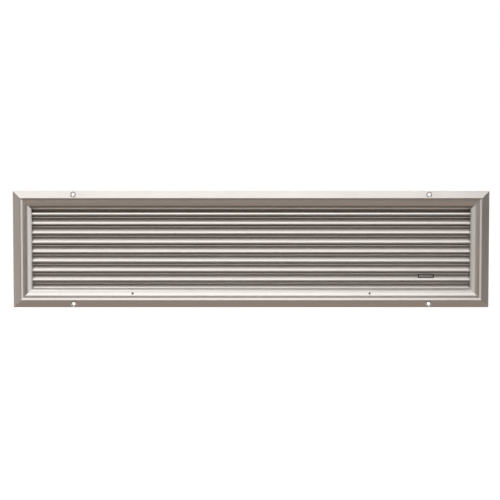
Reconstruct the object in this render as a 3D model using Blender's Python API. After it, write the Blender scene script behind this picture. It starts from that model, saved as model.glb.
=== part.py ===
"""Louvred air grille for a wall or coaming opening.

A mitred frame of extruded aluminium rails lies on the wall with its flange and reaches into the
opening with its collar. Fixed blades lie in the slots of two end combs, which are screwed to the
side rails. Corner keys with set screws hold the mitres together.

X runs along the grille, +Y into the wall and +Z up. The origin is the middle of the grille on the
wall's surface, which is the plane of the flange's back.
"""

import math

import bmesh
import bpy
from mathutils import Matrix

MM = 0.001

# Driving dimensions, in millimetres.
LENGTH = 644.0
HEIGHT = 158.0
WALL = 1.6  # thickness of the rail's walls
COLLAR_DEPTH = 32.0
BLADE_COUNT = 9
BLADE_PITCH = 12.83
TOP_BLADE_Z = 45.9  # foot of the top blade's nose
NOSE_Y = 8.2  # depth of every nose's front behind the wall's surface
BLADE_SLOPE = 48.5  # degrees above the horizontal
GAP = 0.3  # clearance between neighbouring pieces

# The rail's section: u runs from the outer edge inwards, v runs out of the wall.
FLANGE_EDGE = 1.2
EDGE_RADIUS = 0.5
FLANGE_SLOPE = 9.0
FLANGE_RUN = 9.1
CREST_RADIUS = 2.0
BEVEL_SLOPE = 30.0
BEVEL_RUN = 2.6
VALLEY_RUN = 0.7
ROLL_RADIUS = 13.3
ROLL_SLOPE = 60.0
COLLAR_U = 15.0  # outside of the collar's wall
KEY_RIB_V = -24.8
KEY_RIB_HEIGHT = 1.6
KEY_RIB_THICK = 1.0
REAR_LIP_U = 21.0
RELIEF_FROM_U = 7.6  # groove in the flange's back, under the crest
RELIEF_TO_U = 10.4
RELIEF_DEPTH = 0.9
FLANGE_BACK_U = 11.4
WEB_BACK_V = -0.9

# Holes in the rails.
SCREW_HOLE_X = 240.5
SCREW_HOLE_U = 4.9
SCREW_HOLE_RADIUS = 2.25
COUNTERSINK_RADIUS = 4.0
COUNTERSINK_DEPTH = 2.15
DRAIN_HOLE_X = 160.7
DRAIN_HOLE_U = 18.8
DRAIN_HOLE_RADIUS = 1.5

# The blade's section, from its rolled nose up the face to the upstand at its back.
BLADE_THICK = 1.3
NOSE_RUN = 0.4  # straight foot below the nose's bend
NOSE_RADIUS = 5.0
RIB_RADIUS = 0.8
FACE_BELOW_RIB = 6.4
FACE_ABOVE_RIB = 2.8
UPSTAND_RADIUS = 0.8
UPSTAND_RUN = 1.4

# End combs and their screws. A screw's place is its depth and its height.
COMB_THICK = 1.6
COMB_FRONT_Y = 5.0
COMB_BACK_Y = 24.0
COMB_SCREWS = {"upper": (10.0, 57.8), "lower": (20.0, -57.0)}
SCREW_SHANK_RADIUS = 1.35
SCREW_HEAD_RADIUS = 2.75
SCREW_HEAD_HEIGHT = 1.9
SCREW_LENGTH = 4.4
SCREW_TIP = 0.4
CROSS_LENGTH = 3.0
CROSS_WIDTH = 0.6
CROSS_DEPTH = 1.1

# Corner keys and their set screws.
KEY_ARM = 30.0
KEY_WIDTH = 5.0
SET_SCREW_RADIUS = 1.5
SET_SCREW_LENGTH = 4.6
SET_SCREW_POINT = 0.4
SET_SCREW_FROM_CORNER = 20.0
SOCKET_RADIUS = 0.85
SOCKET_DEPTH = 1.6

# The small blank plate on a blade's face, between the nose and the rib.
PLATE_BLADE = 8
PLATE_X = 237.8
PLATE_LENGTH = 21.6
PLATE_WIDTH = 5.6
PLATE_THICK = 0.4
PLATE_CORNER_RADIUS = 0.8
PLATE_ALONG_FACE = 3.1

ARC_STEP = 12.0  # degrees between the points of an arc
WIDE_ARC_STEP = 6.0  # the same for the wide arcs of the roll and the noses
ROUND_SIDES = 24
PAST = 1.0  # how far a cutter reaches past the surface that it opens

# Insides of the collar, where the combs and the corner keys lie.
INSIDE_X = LENGTH / 2 - COLLAR_U - WALL - GAP
INSIDE_Z = HEIGHT / 2 - COLLAR_U - WALL - GAP
SIDES = {"left": -1, "right": 1}
LEVELS = {"top": 1, "bottom": -1}


class Outline:
    """A closed outline, drawn by a pen that goes straight, bends, or jumps to a point."""

    def __init__(self, a, b, heading):
        self.points = [(a, b)]
        self.heading = math.radians(heading)

    def go(self, distance):
        a, b = self.points[-1]
        self.to(a + distance * math.cos(self.heading), b + distance * math.sin(self.heading))

    def turn(self, degrees):
        self.heading += math.radians(degrees)

    def to(self, *places):
        self.points.extend([places] if isinstance(places[0], float) else places)

    def bend(self, radius, degrees, step=ARC_STEP):
        """Follows an arc: positive degrees turn left, negative ones turn right."""
        side = math.copysign(radius, degrees)
        a, b = self.points[-1]
        middle_a = a - side * math.sin(self.heading)
        middle_b = b + side * math.cos(self.heading)
        steps = max(2, round(abs(degrees) / step))
        for _ in range(steps):
            self.turn(degrees / steps)
            self.to(
                middle_a + side * math.sin(self.heading), middle_b - side * math.cos(self.heading)
            )


def rail_section():
    """The rail's section: flange, crest, valley and roll in front, and the collar behind."""
    pen = Outline(0.0, FLANGE_EDGE, 90.0)
    pen.bend(EDGE_RADIUS, FLANGE_SLOPE - 90.0)
    pen.go(FLANGE_RUN)
    pen.bend(CREST_RADIUS, -FLANGE_SLOPE - BEVEL_SLOPE)
    pen.go(BEVEL_RUN)
    pen.turn(BEVEL_SLOPE)
    pen.go(VALLEY_RUN)
    roll_u = pen.points[-1][0]
    pen.bend(ROLL_RADIUS, -ROLL_SLOPE, WIDE_ARC_STEP)
    pen.bend(WALL / 2, -180.0)
    collar_inside = COLLAR_U + WALL
    inner_radius = ROLL_RADIUS - WALL
    joint_angle = math.degrees(math.asin((collar_inside - roll_u) / inner_radius))
    pen.bend(inner_radius, ROLL_SLOPE - joint_angle, WIDE_ARC_STEP)
    rib_u = collar_inside + KEY_RIB_HEIGHT
    rib_back = KEY_RIB_V - KEY_RIB_THICK
    pen.to(
        (collar_inside, KEY_RIB_V),
        (rib_u, KEY_RIB_V),
        (rib_u, rib_back),
        (collar_inside, rib_back),
        (collar_inside, WALL - COLLAR_DEPTH),
        (REAR_LIP_U, WALL - COLLAR_DEPTH),
        (REAR_LIP_U, -COLLAR_DEPTH),
        (COLLAR_U, -COLLAR_DEPTH),
        (COLLAR_U, WEB_BACK_V),
        (FLANGE_BACK_U - WEB_BACK_V, WEB_BACK_V),
        (FLANGE_BACK_U, 0.0),
        (RELIEF_TO_U, 0.0),
        (RELIEF_TO_U, RELIEF_DEPTH),
        (RELIEF_FROM_U, RELIEF_DEPTH),
        (RELIEF_FROM_U, 0.0),
        (0.0, 0.0),
    )
    return pen.points


def blade_section(grow=0.0):
    """The blade's section in (y, z) about its nose's foot, with its surface moved out by grow."""
    lean = 90.0 - BLADE_SLOPE
    pen = Outline(-grow, 0.0, 90.0)
    pen.go(NOSE_RUN)
    pen.bend(NOSE_RADIUS + grow, -lean, WIDE_ARC_STEP)
    pen.go(FACE_BELOW_RIB - grow)
    pen.turn(90.0)
    pen.bend(RIB_RADIUS + grow, -180.0)
    pen.turn(90.0)
    pen.go(FACE_ABOVE_RIB - grow)
    pen.bend(UPSTAND_RADIUS - grow, lean)
    pen.go(UPSTAND_RUN)
    pen.bend(BLADE_THICK / 2 + grow, -180.0)
    pen.go(UPSTAND_RUN)
    pen.bend(UPSTAND_RADIUS + BLADE_THICK + grow, -lean)
    pen.go(FACE_BELOW_RIB + 2 * RIB_RADIUS + FACE_ABOVE_RIB)
    pen.bend(NOSE_RADIUS - BLADE_THICK - grow, lean, WIDE_ARC_STEP)
    pen.go(NOSE_RUN)
    pen.bend(BLADE_THICK / 2 + grow, -180.0)
    return pen.points[:-1]


def metal(name, colour, roughness, metallic=1.0):
    """A plain finish, made once and shared by the pieces that have it."""
    found = bpy.data.materials.get(name)
    if found:
        return found
    made = bpy.data.materials.new(name)
    made.use_nodes = True
    shader = made.node_tree.nodes["Principled BSDF"]
    shader.inputs["Base Color"].default_value = (*colour, 1.0)
    shader.inputs["Roughness"].default_value = roughness
    shader.inputs["Metallic"].default_value = metallic
    return made


def satin_anodised():
    return metal("satin_anodised_aluminium", (0.62, 0.58, 0.55), 0.35)


def mill_aluminium():
    return metal("mill_aluminium", (0.66, 0.66, 0.67), 0.45)


def stainless_steel():
    return metal("stainless_steel", (0.55, 0.55, 0.56), 0.3)


def dark_plate():
    return metal("dark_plate", (0.16, 0.14, 0.15), 0.4, metallic=0.6)


def finished(name, bm, material, smooth_below=30.0):
    """Turns a bmesh in millimetres into a named object in metres."""
    bmesh.ops.scale(bm, vec=(MM, MM, MM), verts=bm.verts)
    bmesh.ops.recalc_face_normals(bm, faces=bm.faces)
    mesh = bpy.data.meshes.new(name)
    bm.to_mesh(mesh)
    bm.free()
    mesh.shade_smooth()
    mesh.set_sharp_from_angle(angle=math.radians(smooth_below))
    mesh.materials.append(material)
    piece = bpy.data.objects.new(name, mesh)
    bpy.context.scene.collection.objects.link(piece)
    return piece


def put(piece, x, y, z, turned=(0.0, 0.0, 0.0)):
    """Places a piece, in millimetres and degrees."""
    piece.location = (x * MM, y * MM, z * MM)
    piece.rotation_euler = [math.radians(angle) for angle in turned]
    return piece


def extruded(outline, offset):
    """A bmesh of an outline, given as corners in space, drawn out by an offset."""
    bm = bmesh.new()
    face = bm.faces.new([bm.verts.new(corner) for corner in outline])
    grown = bmesh.ops.extrude_face_region(bm, geom=[face])
    moved = [item for item in grown["geom"] if isinstance(item, bmesh.types.BMVert)]
    bmesh.ops.translate(bm, vec=offset, verts=moved)
    return bm


def bar(section, length):
    """A bar along X with a section in (y, z), its middle at x = 0."""
    return extruded([(-length / 2, y, z) for y, z in section], (length, 0, 0))


def mitred(bm, length):
    """Cuts a bar's ends at 45 degrees. The bar's outer edge is at z = 0, and it lies below that."""
    for vertex in bm.verts:
        vertex.co.x = math.copysign(length / 2 + vertex.co.z, vertex.co.x)
    return bm


def turned_shape(profile, sides=ROUND_SIDES):
    """A solid turned about Z, from (radius, height) points. It is closed with points on the axis."""
    bm = bmesh.new()
    rims = [(0.0, profile[0][1]), *profile, (0.0, profile[-1][1])]
    points = [bm.verts.new((radius, 0.0, height)) for radius, height in rims]
    edges = [bm.edges.new(pair) for pair in zip(points, points[1:])]
    bmesh.ops.spin(
        bm, geom=points + edges, axis=(0, 0, 1), angle=2 * math.pi, steps=sides, use_merge=True
    )
    bmesh.ops.remove_doubles(bm, verts=bm.verts, dist=1e-4)
    return bm


def box(length, width, height):
    bm = bmesh.new()
    bmesh.ops.create_cube(bm, size=1.0, matrix=Matrix.Diagonal((length, width, height, 1.0)))
    return bm


def cut(pieces, name, bm, place, turned=(0.0, 0.0, 0.0)):
    """Cuts a shape out of each of the pieces. The shape stays as a guide that isn't rendered."""
    tool = put(finished(name, bm, mill_aluminium()), *place, turned)
    tool.hide_render = True
    tool.display_type = "WIRE"
    for piece in pieces:
        modifier = piece.modifiers.new(name, "BOOLEAN")
        modifier.operation = "DIFFERENCE"
        modifier.object = tool


def drill(pieces, name, radius, place, turned, reach=5.0):
    """Cuts a straight round hole, which reaches as far to each side of its place."""
    cut(pieces, name, turned_shape([(radius, -reach), (radius, reach)]), place, turned)


def cut_screw_hole(rail, x, upward):
    """A straight screw hole, with a countersink that is square to the sloping flange."""
    label = f"{rail.name}_{'right' if x > 0 else 'left'}"
    z = upward * (HEIGHT / 2 - SCREW_HOLE_U)
    slope = math.radians(FLANGE_SLOPE)
    front = FLANGE_EDGE + EDGE_RADIUS + (SCREW_HOLE_U - EDGE_RADIUS) * math.tan(slope)
    cone = turned_shape(
        [
            (COUNTERSINK_RADIUS - COUNTERSINK_DEPTH, -COUNTERSINK_DEPTH),
            (COUNTERSINK_RADIUS, 0.0),
            (COUNTERSINK_RADIUS, COUNTERSINK_DEPTH),
        ]
    )
    drill([rail], f"{label}_hole", SCREW_HOLE_RADIUS, (x, 0, z), (90, 0, 0))
    leaning = (90 - upward * FLANGE_SLOPE, 0, 0)
    cut([rail], f"{label}_countersink", cone, (x, -front, z), leaning)


def make_rails():
    """The four mitred rails. Each is drawn as the top rail and turned to its side."""
    section = [(-v, -u) for u, v in rail_section()]
    mitre_gap = GAP * math.sqrt(2)
    places = {
        "frame_rail_top": (LENGTH, 0.0, (0, 0, HEIGHT / 2)),
        "frame_rail_bottom": (LENGTH, 180.0, (0, 0, -HEIGHT / 2)),
        "frame_rail_right": (HEIGHT, 90.0, (LENGTH / 2, 0, 0)),
        "frame_rail_left": (HEIGHT, -90.0, (-LENGTH / 2, 0, 0)),
    }
    rails = {}
    for name, (length, turn, place) in places.items():
        shape = mitred(bar(section, length), length - mitre_gap)
        rails[name] = put(finished(name, shape, satin_anodised()), *place, (0, turn, 0))
    for x in (-SCREW_HOLE_X, SCREW_HOLE_X):
        cut_screw_hole(rails["frame_rail_top"], x, 1)
        cut_screw_hole(rails["frame_rail_bottom"], x, -1)
    return rails


def cut_drain_holes(rail):
    """Two holes that let the water in the bottom rail's trough run out over its roll."""
    z = DRAIN_HOLE_U - HEIGHT / 2
    for side, sign in SIDES.items():
        place = (sign * DRAIN_HOLE_X, 0, z)
        drill([rail], f"drain_{side}", DRAIN_HOLE_RADIUS, place, (90, 0, 0))


def blade_z(number):
    """Height of the foot of a blade's nose, with the blades counted from 1 at the top."""
    return TOP_BLADE_Z - (number - 1) * BLADE_PITCH


def make_blades():
    """The fixed blades, which end inside the combs' slots."""
    length = 2 * (INSIDE_X - GAP)
    for number in range(1, BLADE_COUNT + 1):
        blade = finished(f"louvre_blade_{number}", bar(blade_section(), length), satin_anodised())
        put(blade, 0, NOSE_Y, blade_z(number))


def make_combs(rails):
    """The two slotted end plates that carry the blades, and the holes for their screws."""
    middle_x = INSIDE_X - COMB_THICK / 2
    plate = [
        (COMB_FRONT_Y, -INSIDE_Z),
        (COMB_BACK_Y, -INSIDE_Z),
        (COMB_BACK_Y, INSIDE_Z),
        (COMB_FRONT_Y, INSIDE_Z),
    ]
    for side, sign in SIDES.items():
        comb = finished(f"end_comb_{side}", bar(plate, COMB_THICK), mill_aluminium())
        put(comb, sign * middle_x, 0, 0)
        for number in range(1, BLADE_COUNT + 1):
            slot = bar(blade_section(grow=GAP), COMB_THICK + 2 * PAST)
            place = (sign * middle_x, NOSE_Y, blade_z(number))
            cut([comb], f"slot_{side}_{number}", slot, place)
        pieces = [comb, rails[f"frame_rail_{side}"]]
        for level, (y, z) in COMB_SCREWS.items():
            place = (sign * INSIDE_X, y, z)
            radius = SCREW_SHANK_RADIUS + GAP
            drill(pieces, f"comb_hole_{side}_{level}", radius, place, (0, 90, 0))


def make_comb_screws():
    """Pan head screws that hold each comb to its side rail, with a cross recess in the head."""
    profile = [
        (SCREW_SHANK_RADIUS - SCREW_TIP, -SCREW_LENGTH),
        (SCREW_SHANK_RADIUS, SCREW_TIP - SCREW_LENGTH),
        (SCREW_SHANK_RADIUS, 0.0),
        (SCREW_HEAD_RADIUS, 0.0),
        (SCREW_HEAD_RADIUS, SCREW_HEAD_HEIGHT * 0.35),
        (SCREW_HEAD_RADIUS * 0.85, SCREW_HEAD_HEIGHT * 0.75),
        (SCREW_HEAD_RADIUS * 0.55, SCREW_HEAD_HEIGHT),
    ]
    for side, sign in SIDES.items():
        for level, (y, z) in COMB_SCREWS.items():
            name = f"comb_screw_{side}_{level}"
            seat = (sign * (INSIDE_X - COMB_THICK - GAP), y, z)
            inwards = (0, -sign * 90, 0)
            screw = put(finished(name, turned_shape(profile), stainless_steel()), *seat, inwards)
            top = (seat[0] - sign * SCREW_HEAD_HEIGHT, y, z)
            upright = box(CROSS_LENGTH, CROSS_WIDTH, 2 * CROSS_DEPTH)
            across = box(CROSS_WIDTH, CROSS_LENGTH, 2 * CROSS_DEPTH)
            cut([screw], f"{name}_upright_recess", upright, top, inwards)
            cut([screw], f"{name}_across_recess", across, top, inwards)


def make_corner_keys():
    """L shaped keys in the channel behind the collar's rib, with a set screw in each arm."""
    front = GAP - KEY_RIB_V + KEY_RIB_THICK
    back = COLLAR_DEPTH - WALL - GAP
    middle_y = (front + back) / 2
    outline = [
        (0.0, 0.0),
        (KEY_ARM, 0.0),
        (KEY_ARM, KEY_WIDTH),
        (KEY_WIDTH, KEY_WIDTH),
        (KEY_WIDTH, KEY_ARM),
        (0.0, KEY_ARM),
    ]
    for level, up in LEVELS.items():
        for side, right in SIDES.items():
            corners = [(-right * a, front, -up * b) for a, b in outline]
            name = f"corner_key_{level}_{side}"
            key = finished(name, extruded(corners, (0, back - front, 0)), stainless_steel())
            corner_x = right * INSIDE_X
            corner_z = up * INSIDE_Z
            put(key, corner_x, 0, corner_z)
            across = (corner_x - right * SET_SCREW_FROM_CORNER, middle_y, corner_z)
            upright = (corner_x, middle_y, corner_z - up * SET_SCREW_FROM_CORNER)
            make_set_screw(key, "across", across, (90 + up * 90, 0, 0))
            make_set_screw(key, "upright", upright, (0, -right * 90, 0))


def make_set_screw(key, arm, place, turned):
    """A set screw against the collar's wall, with a hexagon socket in its inner end."""
    name = key.name.replace("corner_key", "set_screw") + f"_{arm}"
    drill([key], f"{name}_hole", SET_SCREW_RADIUS + GAP, place, turned, KEY_WIDTH + PAST)
    body = turned_shape(
        [
            (SET_SCREW_RADIUS - SET_SCREW_POINT, 0.0),
            (SET_SCREW_RADIUS, SET_SCREW_POINT),
            (SET_SCREW_RADIUS, SET_SCREW_LENGTH),
        ]
    )
    screw = put(finished(name, body, stainless_steel()), *place, turned)
    socket = turned_shape(
        [
            (SOCKET_RADIUS, SET_SCREW_LENGTH - SOCKET_DEPTH),
            (SOCKET_RADIUS, SET_SCREW_LENGTH + PAST),
        ],
        sides=6,
    )
    cut([screw], f"{name}_socket", socket, place, turned)


def make_blank_plate():
    """The small plate that lies on a blade's sloping face, with its corners rounded."""
    bm = box(PLATE_LENGTH, PLATE_WIDTH, PLATE_THICK)
    upright = [edge for edge in bm.edges if edge.calc_length() < PLATE_THICK * 1.5]
    bmesh.ops.bevel(
        bm, geom=upright, offset=PLATE_CORNER_RADIUS, segments=4, profile=0.5, affect="EDGES"
    )
    slope = math.radians(BLADE_SLOPE)
    outwards = NOSE_RADIUS + GAP + PLATE_THICK / 2
    middle_y = NOSE_Y + NOSE_RADIUS
    middle_z = blade_z(PLATE_BLADE) + NOSE_RUN
    y = middle_y + PLATE_ALONG_FACE * math.cos(slope) - outwards * math.sin(slope)
    z = middle_z + PLATE_ALONG_FACE * math.sin(slope) + outwards * math.cos(slope)
    put(finished("blank_plate", bm, dark_plate()), PLATE_X, y, z, (BLADE_SLOPE, 0, 0))


def main():
    for piece in list(bpy.data.objects):
        bpy.data.objects.remove(piece)
    rails = make_rails()
    cut_drain_holes(rails["frame_rail_bottom"])
    make_blades()
    make_combs(rails)
    make_comb_screws()
    make_corner_keys()
    make_blank_plate()


main()
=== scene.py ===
"""Looks of a louvred air grille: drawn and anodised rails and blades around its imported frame.

The grille stands upright. X runs along it, +Y goes into the wall and +Z is up. Every new piece is a
surface of two parameters, worked out with numpy in millimetres and stored in metres.
"""

import logging
import math
from dataclasses import dataclass, field
from enum import Enum

import bpy
import numpy as np
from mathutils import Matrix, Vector

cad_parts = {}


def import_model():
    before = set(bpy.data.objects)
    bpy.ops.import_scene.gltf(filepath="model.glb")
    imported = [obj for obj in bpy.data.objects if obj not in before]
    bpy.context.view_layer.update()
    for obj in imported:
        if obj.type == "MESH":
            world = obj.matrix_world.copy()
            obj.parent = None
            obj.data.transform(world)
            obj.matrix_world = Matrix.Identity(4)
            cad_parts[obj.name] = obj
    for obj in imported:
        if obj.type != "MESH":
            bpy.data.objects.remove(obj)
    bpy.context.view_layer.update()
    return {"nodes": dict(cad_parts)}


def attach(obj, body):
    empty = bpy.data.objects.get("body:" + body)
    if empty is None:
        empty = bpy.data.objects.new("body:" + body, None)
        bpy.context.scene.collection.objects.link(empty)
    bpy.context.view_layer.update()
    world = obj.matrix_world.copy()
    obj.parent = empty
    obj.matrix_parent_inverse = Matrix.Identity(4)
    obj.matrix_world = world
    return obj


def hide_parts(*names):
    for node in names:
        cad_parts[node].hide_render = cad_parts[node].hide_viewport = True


LOG = logging.getLogger("grille")
MM = 0.001
BODY = "root"
GRAIN_DEPTH = 0.0002  # metres that the grain would stand proud at full strength
COMB_SCREW_PLACES = {"upper": (10.0, 57.8), "lower": (20.0, -57.0)}  # y and z, in millimetres
COMB_SCREW_HOLE = 1.65  # radius, in millimetres


class Slot(Enum):
    """The record's material slots."""

    ANODISED = "satin_anodised"
    MILL = "mill_aluminium"
    STAINLESS = "stainless_steel"
    PLATE = "dark_plate"


class Along(Enum):
    """The direction in which a piece was drawn through its die or rolled, if any."""

    X = (1.0, 0.0, 0.0)
    Z = (0.0, 0.0, 1.0)
    NONE = (0.0, 0.0, 0.0)


class Side(Enum):
    """A side of the frame: the turn about Y that brings the top rail there, in degrees."""

    TOP = 0.0
    RIGHT = 90.0
    BOTTOM = 180.0
    LEFT = -90.0


class End(Enum):
    """An end of the grille: the sign of its x."""

    LEFT = -1
    RIGHT = 1


class Level(Enum):
    """The upper or the lower part of the grille: the sign of its z."""

    TOP = 1
    BOTTOM = -1


# --- shader groups -----------------------------------------------------------------------------


class ShaderGroup:
    """A shader node group with named inputs and outputs, filled by its subclass."""

    def __init__(self, name: str, inputs: dict[str, float | tuple], outputs: dict[str, str]) -> None:
        """Makes the group's sockets.

        Args:
            name: The group's name.
            inputs: Default value of each input. A tuple makes a vector, and a number a float.
            outputs: Socket type of each output.
        """
        self.tree = bpy.data.node_groups.new(name, "ShaderNodeTree")
        for label, value in inputs.items():
            kind = "NodeSocketVector" if isinstance(value, tuple) else "NodeSocketFloat"
            socket = self.tree.interface.new_socket(label, in_out="INPUT", socket_type=kind)
            socket.default_value = value
        for label, kind in outputs.items():
            self.tree.interface.new_socket(label, in_out="OUTPUT", socket_type=kind)
        self.start = self.tree.nodes.new("NodeGroupInput")
        self.end = self.tree.nodes.new("NodeGroupOutput")

    def add(self, kind: str, **settings: object) -> bpy.types.Node:
        """Adds a node and sets its properties."""
        return add_node(self.tree, kind, **settings)

    def link(self, source: bpy.types.NodeSocket, target: bpy.types.NodeSocket) -> None:
        """Links two sockets."""
        self.tree.links.new(source, target)

    def noise(self, vector: bpy.types.NodeSocket, scale: float, detail: float) -> bpy.types.NodeSocket:
        """Adds a noise texture and returns its value, about 0.5 in the middle.

        Args:
            vector: Where the noise is read.
            scale: Its scale.
            detail: Its number of octaves.

        Returns:
            The noise's value, about 0.5 in the middle.
        """
        node = self.add("ShaderNodeTexNoise")
        node.inputs["Scale"].default_value = scale
        node.inputs["Detail"].default_value = detail
        self.link(vector, node.inputs["Vector"])
        return node.outputs["Fac"]

    def math(
        self, operation: str, first: object, second: object = 0.0, clamp: bool = False
    ) -> bpy.types.NodeSocket:
        """Adds a math node. A value is a socket or a plain number.

        Args:
            operation: The node's operation.
            first: The first value.
            second: The second value.
            clamp: Whether the result is kept between 0 and 1.

        Returns:
            The node's result.
        """
        node = self.add("ShaderNodeMath", operation=operation, use_clamp=clamp)
        for socket, value in zip(node.inputs, (first, second)):
            if isinstance(value, bpy.types.NodeSocket):
                self.link(value, socket)
            else:
                socket.default_value = value
        return node.outputs["Value"]


def add_node(tree: bpy.types.NodeTree, kind: str, **settings: object) -> bpy.types.Node:
    """Adds a node to a tree and sets its properties.

    Args:
        tree: The node tree.
        kind: The node's type, as Blender names it.
        **settings: Properties of the node to set.

    Returns:
        The new node.
    """
    node = tree.nodes.new(kind)
    for key, value in settings.items():
        setattr(node, key, value)
    return node


class DrawnGrain(ShaderGroup):
    """Fine lines along the direction in which a metal was drawn, and slow changes across it.

    A noise is stretched: its coordinates are scaled down along the draw and up across it, so one
    grain is a long thin streak. Two sizes of streak are mixed.
    """

    def __init__(self) -> None:
        """Builds the group."""
        super().__init__(
            "drawn_grain",
            {"Stretch": (1.0, 1.0, 1.0), "Fine": 0.5},
            {"Streaks": "NodeSocketFloat", "Height": "NodeSocketFloat"},
        )
        place = self.add("ShaderNodeTexCoord").outputs["Object"]
        scaled = self.add("ShaderNodeVectorMath", operation="MULTIPLY")
        self.link(place, scaled.inputs[0])
        self.link(self.start.outputs["Stretch"], scaled.inputs[1])
        fine = self.noise(scaled.outputs["Vector"], 9000.0, 2.0)
        broad = self.noise(scaled.outputs["Vector"], 1600.0, 3.0)
        mixed = self.add("ShaderNodeMix", data_type="FLOAT")
        self.link(self.start.outputs["Fine"], mixed.inputs["Factor"])
        self.link(broad, mixed.inputs["A"])
        self.link(fine, mixed.inputs["B"])
        self.link(mixed.outputs["Result"], self.end.inputs["Streaks"])
        self.link(fine, self.end.inputs["Height"])


class HandlingMarks(ShaderGroup):
    """Soft cloudy patches, where the surface was handled or wiped."""

    def __init__(self) -> None:
        """Builds the group."""
        super().__init__("handling_marks", {"Amount": 1.0}, {"Clouds": "NodeSocketFloat"})
        place = self.add("ShaderNodeTexCoord").outputs["Object"]
        centred = self.math("SUBTRACT", self.noise(place, 24.0, 4.0), 0.5)
        self.link(
            self.math("MULTIPLY", centred, self.start.outputs["Amount"]), self.end.inputs["Clouds"]
        )


class EdgeWear(ShaderGroup):
    """A mask of the edges, where the finish is polished thin.

    The mask compares the surface's normal with a normal rounded over a small radius: they differ
    only near an edge. A noise breaks it up.
    """

    def __init__(self) -> None:
        """Builds the group."""
        super().__init__(
            "edge_wear", {"Radius": 0.0006, "Strength": 6.0}, {"Mask": "NodeSocketFloat"}
        )
        rounded = self.add("ShaderNodeBevel", samples=4)
        self.link(self.start.outputs["Radius"], rounded.inputs["Radius"])
        normal = self.add("ShaderNodeNewGeometry").outputs["Normal"]
        likeness = self.add("ShaderNodeVectorMath", operation="DOT_PRODUCT")
        self.link(normal, likeness.inputs[0])
        self.link(rounded.outputs["Normal"], likeness.inputs[1])
        differs = self.math("SUBTRACT", 1.0, likeness.outputs["Value"])
        strong = self.math("MULTIPLY", differs, self.start.outputs["Strength"], clamp=True)
        place = self.add("ShaderNodeTexCoord").outputs["Object"]
        broken = self.math("ADD", self.noise(place, 300.0, 3.0), 0.2, clamp=True)
        self.link(self.math("MULTIPLY", strong, broken), self.end.inputs["Mask"])


@dataclass(frozen=True)
class GroupSet:
    """The shader groups that the finishes share."""

    grain: ShaderGroup
    marks: ShaderGroup
    wear: ShaderGroup


# --- finishes ----------------------------------------------------------------------------------


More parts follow.
